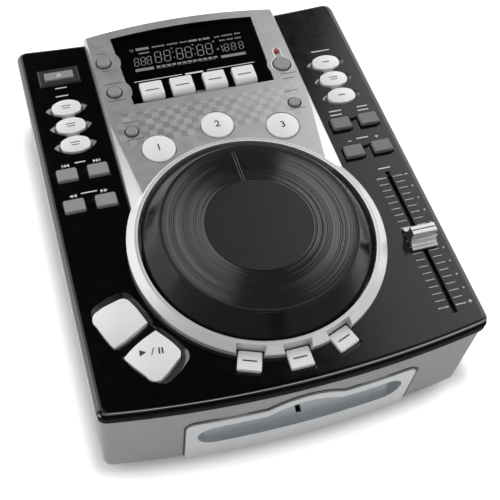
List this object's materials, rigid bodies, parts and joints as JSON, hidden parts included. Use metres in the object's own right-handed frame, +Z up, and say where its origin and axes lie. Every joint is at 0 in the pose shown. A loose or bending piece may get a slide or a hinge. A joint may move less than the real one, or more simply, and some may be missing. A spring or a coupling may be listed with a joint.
{
  "type": "tabletop dj cd player",
  "caption": "Tabletop player for a DJ booth: slot-loading disc drive, large jog wheel, pitch fader, display and round and oval keys on a wedge-free box casing.",
  "frame": {"origin": "middle of the part's bounding box in plan, on the surface that the rubber feet stand on", "axes": "+X to the right as seen by the person using it, +Y from the front with the disc mouth to the rear, +Z up"},
  "size_m": [0.24, 0.2976, 0.1055],
  "materials": {
    "lower_housing": "satin",
    "bottom_plate": "satin",
    "rubber_feet": "matt",
    "housing_screws": "satin",
    "top_cover": "gloss",
    "centre_panel": "metallic silver lacquer",
    "display_window": "gloss",
    "display_board": "satin",
    "eject_frame": "satin",
    "beat_lamp": "gloss",
    "mouth_bezel": "metallic silver lacquer",
    "jog_bearing": "satin",
    "fader_unit": "satin",
    "main_board": "satin",
    "key_boards": "satin",
    "power_supply": "satin",
    "drive_chassis": "satin",
    "audio_jacks": "satin",
    "power_inlet": "satin",
    "jog_platter": "gloss",
    "jog_disc": "fine turned grooves",
    "jog_shaft": "satin",
    "fader_cap": "satin",
    "power_switch": "satin",
    "drive_hub": "satin",
    "feed_roller": "matt",
    "laser_sled": "satin",
    "sled_screw": "satin",
    "eject_key": "satin",
    "loop_exit_key": "satin",
    "loop_in_key": "satin",
    "loop_out_key": "satin",
    "sampler_record_key": "satin",
    "sampler_repeat_key": "satin",
    "sampler_play_key": "satin",
    "cue_key": "satin",
    "play_key": "satin",
    "scratch_key": "satin",
    "brake_key": "satin",
    "reverse_key": "satin",
    "cue_1_key": "satin",
    "cue_2_key": "satin",
    "cue_3_key": "satin",
    "effect_1_key": "satin",
    "effect_2_key": "satin",
    "effect_3_key": "satin",
    "effect_4_key": "satin",
    "skip_back_key": "satin",
    "skip_on_key": "satin",
    "search_back_key": "satin",
    "search_on_key": "satin",
    "tempo_key": "satin",
    "range_key": "satin",
    "bend_down_key": "satin",
    "bend_up_key": "satin",
    "time_key": "satin",
    "play_mode_key": "satin",
    "cue_mode_key": "satin",
    "tap_key": "satin",
    "cue_set_key": "satin"
  },
  "bodies": {
    "casing": {"lower_housing": "lower_housing", "bottom_plate": "bottom_plate", "rubber_feet": "rubber_feet", "housing_screws": "housing_screws", "top_cover": "top_cover", "centre_panel": "centre_panel", "display_window": "display_window", "display_board": "display_board", "eject_frame": "eject_frame", "beat_lamp": "beat_lamp", "mouth_bezel": "mouth_bezel", "jog_bearing": "jog_bearing", "fader_unit": "fader_unit", "main_board": "main_board", "key_boards": "key_boards", "power_supply": "power_supply", "drive_chassis": "drive_chassis", "audio_jacks": "audio_jacks", "power_inlet": "power_inlet"},
    "jog_wheel": {"jog_platter": "jog_platter", "jog_disc": "jog_disc", "jog_shaft": "jog_shaft"},
    "fader_cap": {"fader_cap": "fader_cap"},
    "power_switch": {"power_switch": "power_switch"},
    "drive_hub": {"drive_hub": "drive_hub"},
    "feed_roller": {"feed_roller": "feed_roller"},
    "laser_sled": {"laser_sled": "laser_sled"},
    "sled_screw": {"sled_screw": "sled_screw"},
    "eject_key": {"eject_key": "eject_key"},
    "loop_exit_key": {"loop_exit_key": "loop_exit_key"},
    "loop_in_key": {"loop_in_key": "loop_in_key"},
    "loop_out_key": {"loop_out_key": "loop_out_key"},
    "sampler_record_key": {"sampler_record_key": "sampler_record_key"},
    "sampler_repeat_key": {"sampler_repeat_key": "sampler_repeat_key"},
    "sampler_play_key": {"sampler_play_key": "sampler_play_key"},
    "cue_key": {"cue_key": "cue_key"},
    "play_key": {"play_key": "play_key"},
    "scratch_key": {"scratch_key": "scratch_key"},
    "brake_key": {"brake_key": "brake_key"},
    "reverse_key": {"reverse_key": "reverse_key"},
    "cue_1_key": {"cue_1_key": "cue_1_key"},
    "cue_2_key": {"cue_2_key": "cue_2_key"},
    "cue_3_key": {"cue_3_key": "cue_3_key"},
    "effect_1_key": {"effect_1_key": "effect_1_key"},
    "effect_2_key": {"effect_2_key": "effect_2_key"},
    "effect_3_key": {"effect_3_key": "effect_3_key"},
    "effect_4_key": {"effect_4_key": "effect_4_key"},
    "skip_back_key": {"skip_back_key": "skip_back_key"},
    "skip_on_key": {"skip_on_key": "skip_on_key"},
    "search_back_key": {"search_back_key": "search_back_key"},
    "search_on_key": {"search_on_key": "search_on_key"},
    "tempo_key": {"tempo_key": "tempo_key"},
    "range_key": {"range_key": "range_key"},
    "bend_down_key": {"bend_down_key": "bend_down_key"},
    "bend_up_key": {"bend_up_key": "bend_up_key"},
    "time_key": {"time_key": "time_key"},
    "play_mode_key": {"play_mode_key": "play_mode_key"},
    "cue_mode_key": {"cue_mode_key": "cue_mode_key"},
    "tap_key": {"tap_key": "tap_key"},
    "cue_set_key": {"cue_set_key": "cue_set_key"}
  },
  "joints": [
    {"name": "jog_turn", "type": "hinge", "parent": "casing", "child": "jog_wheel", "pos_m": [0, -0.04935, 0.09], "axis": [0, 0, 1], "continuous": true},
    {"name": "pitch_fader_slide", "type": "slide", "parent": "casing", "child": "fader_cap", "axis": [0, 1, 0], "range_m": [-0.05, 0.05]},
    {"name": "power_rocker", "type": "hinge", "parent": "casing", "child": "power_switch", "pos_m": [0.094, 0.14088, 0.033], "axis": [1, 0, 0], "range_deg": [0, 14]},
    {"name": "spindle_turn", "type": "hinge", "parent": "casing", "child": "drive_hub", "pos_m": [0.003, -0.05675, 0.043], "axis": [0, 0, 1], "continuous": true},
    {"name": "roller_turn", "type": "hinge", "parent": "casing", "child": "feed_roller", "pos_m": [0.003, -0.11775, 0.0416], "axis": [1, 0, 0], "continuous": true},
    {"name": "sled_slide", "type": "slide", "parent": "casing", "child": "laser_sled", "axis": [0, 1, 0], "range_m": [0, 0.034]},
    {"name": "sled_screw_turn", "type": "hinge", "parent": "casing", "child": "sled_screw", "pos_m": [-0.033, -0.05675, 0.04], "axis": [0, 1, 0], "range_deg": [0, 4081]},
    {"name": "eject_key_press", "type": "slide", "parent": "casing", "child": "eject_key", "axis": [0, 0, -1], "range_m": [0, 0.001], "stiffness_N_per_m": 200, "springref_m": -0.003},
    {"name": "loop_exit_key_press", "type": "slide", "parent": "casing", "child": "loop_exit_key", "axis": [0, 0, -1], "range_m": [0, 0.001], "stiffness_N_per_m": 200, "springref_m": -0.003},
    {"name": "loop_in_key_press", "type": "slide", "parent": "casing", "child": "loop_in_key", "axis": [0, 0, -1], "range_m": [0, 0.001], "stiffness_N_per_m": 200, "springref_m": -0.003},
    {"name": "loop_out_key_press", "type": "slide", "parent": "casing", "child": "loop_out_key", "axis": [0, 0, -1], "range_m": [0, 0.001], "stiffness_N_per_m": 200, "springref_m": -0.003},
    {"name": "sampler_record_key_press", "type": "slide", "parent": "casing", "child": "sampler_record_key", "axis": [0, 0, -1], "range_m": [0, 0.001], "stiffness_N_per_m": 200, "springref_m": -0.003},
    {"name": "sampler_repeat_key_press", "type": "slide", "parent": "casing", "child": "sampler_repeat_key", "axis": [0, 0, -1], "range_m": [0, 0.001], "stiffness_N_per_m": 200, "springref_m": -0.003},
    {"name": "sampler_play_key_press", "type": "slide", "parent": "casing", "child": "sampler_play_key", "axis": [0, 0, -1], "range_m": [0, 0.001], "stiffness_N_per_m": 200, "springref_m": -0.003},
    {"name": "cue_key_press", "type": "slide", "parent": "casing", "child": "cue_key", "axis": [0, 0, -1], "range_m": [0, 0.001], "stiffness_N_per_m": 200, "springref_m": -0.003},
    {"name": "play_key_press", "type": "slide", "parent": "casing", "child": "play_key", "axis": [0, 0, -1], "range_m": [0, 0.001], "stiffness_N_per_m": 200, "springref_m": -0.003},
    {"name": "scratch_key_press", "type": "slide", "parent": "casing", "child": "scratch_key", "axis": [0, 0, -1], "range_m": [0, 0.001], "stiffness_N_per_m": 200, "springref_m": -0.003},
    {"name": "brake_key_press", "type": "slide", "parent": "casing", "child": "brake_key", "axis": [0, 0, -1], "range_m": [0, 0.001], "stiffness_N_per_m": 200, "springref_m": -0.003},
    {"name": "reverse_key_press", "type": "slide", "parent": "casing", "child": "reverse_key", "axis": [0, 0, -1], "range_m": [0, 0.001], "stiffness_N_per_m": 200, "springref_m": -0.003},
    {"name": "cue_1_key_press", "type": "slide", "parent": "casing", "child": "cue_1_key", "axis": [0, 0, -1], "range_m": [0, 0.001], "stiffness_N_per_m": 200, "springref_m": -0.003},
    {"name": "cue_2_key_press", "type": "slide", "parent": "casing", "child": "cue_2_key", "axis": [0, 0, -1], "range_m": [0, 0.001], "stiffness_N_per_m": 200, "springref_m": -0.003},
    {"name": "cue_3_key_press", "type": "slide", "parent": "casing", "child": "cue_3_key", "axis": [0, 0, -1], "range_m": [0, 0.001], "stiffness_N_per_m": 200, "springref_m": -0.003},
    {"name": "effect_1_key_press", "type": "slide", "parent": "casing", "child": "effect_1_key", "axis": [0, 0, -1], "range_m": [0, 0.001], "stiffness_N_per_m": 200, "springref_m": -0.003},
    {"name": "effect_2_key_press", "type": "slide", "parent": "casing", "child": "effect_2_key", "axis": [0, 0, -1], "range_m": [0, 0.001], "stiffness_N_per_m": 200, "springref_m": -0.003},
    {"name": "effect_3_key_press", "type": "slide", "parent": "casing", "child": "effect_3_key", "axis": [0, 0, -1], "range_m": [0, 0.001], "stiffness_N_per_m": 200, "springref_m": -0.003},
    {"name": "effect_4_key_press", "type": "slide", "parent": "casing", "child": "effect_4_key", "axis": [0, 0, -1], "range_m": [0, 0.001], "stiffness_N_per_m": 200, "springref_m": -0.003},
    {"name": "skip_back_key_press", "type": "slide", "parent": "casing", "child": "skip_back_key", "axis": [0, 0, -1], "range_m": [0, 0.001], "stiffness_N_per_m": 200, "springref_m": -0.003},
    {"name": "skip_on_key_press", "type": "slide", "parent": "casing", "child": "skip_on_key", "axis": [0, 0, -1], "range_m": [0, 0.001], "stiffness_N_per_m": 200, "springref_m": -0.003},
    {"name": "search_back_key_press", "type": "slide", "parent": "casing", "child": "search_back_key", "axis": [0, 0, -1], "range_m": [0, 0.001], "stiffness_N_per_m": 200, "springref_m": -0.003},
    {"name": "search_on_key_press", "type": "slide", "parent": "casing", "child": "search_on_key", "axis": [0, 0, -1], "range_m": [0, 0.001], "stiffness_N_per_m": 200, "springref_m": -0.003},
    {"name": "tempo_key_press", "type": "slide", "parent": "casing", "child": "tempo_key", "axis": [0, 0, -1], "range_m": [0, 0.001], "stiffness_N_per_m": 200, "springref_m": -0.003},
    {"name": "range_key_press", "type": "slide", "parent": "casing", "child": "range_key", "axis": [0, 0, -1], "range_m": [0, 0.001], "stiffness_N_per_m": 200, "springref_m": -0.003},
    {"name": "bend_down_key_press", "type": "slide", "parent": "casing", "child": "bend_down_key", "axis": [0, 0, -1], "range_m": [0, 0.001], "stiffness_N_per_m": 200, "springref_m": -0.003},
    {"name": "bend_up_key_press", "type": "slide", "parent": "casing", "child": "bend_up_key", "axis": [0, 0, -1], "range_m": [0, 0.001], "stiffness_N_per_m": 200, "springref_m": -0.003},
    {"name": "time_key_press", "type": "slide", "parent": "casing", "child": "time_key", "axis": [0, 0, -1], "range_m": [0, 0.001], "stiffness_N_per_m": 200, "springref_m": -0.003},
    {"name": "play_mode_key_press", "type": "slide", "parent": "casing", "child": "play_mode_key", "axis": [0, 0, -1], "range_m": [0, 0.001], "stiffness_N_per_m": 200, "springref_m": -0.003},
    {"name": "cue_mode_key_press", "type": "slide", "parent": "casing", "child": "cue_mode_key", "axis": [0, 0, -1], "range_m": [0, 0.001], "stiffness_N_per_m": 200, "springref_m": -0.003},
    {"name": "tap_key_press", "type": "slide", "parent": "casing", "child": "tap_key", "axis": [0, 0, -1], "range_m": [0, 0.001], "stiffness_N_per_m": 200, "springref_m": -0.003},
    {"name": "cue_set_key_press", "type": "slide", "parent": "casing", "child": "cue_set_key", "axis": [0, 0, -1], "range_m": [0, 0.001], "stiffness_N_per_m": 200, "springref_m": -0.003}
  ],
  "couplings": [
    {"joint": "sled_screw_turn", "follows": "sled_slide", "rad_per_m": 2094.4}
  ]
}
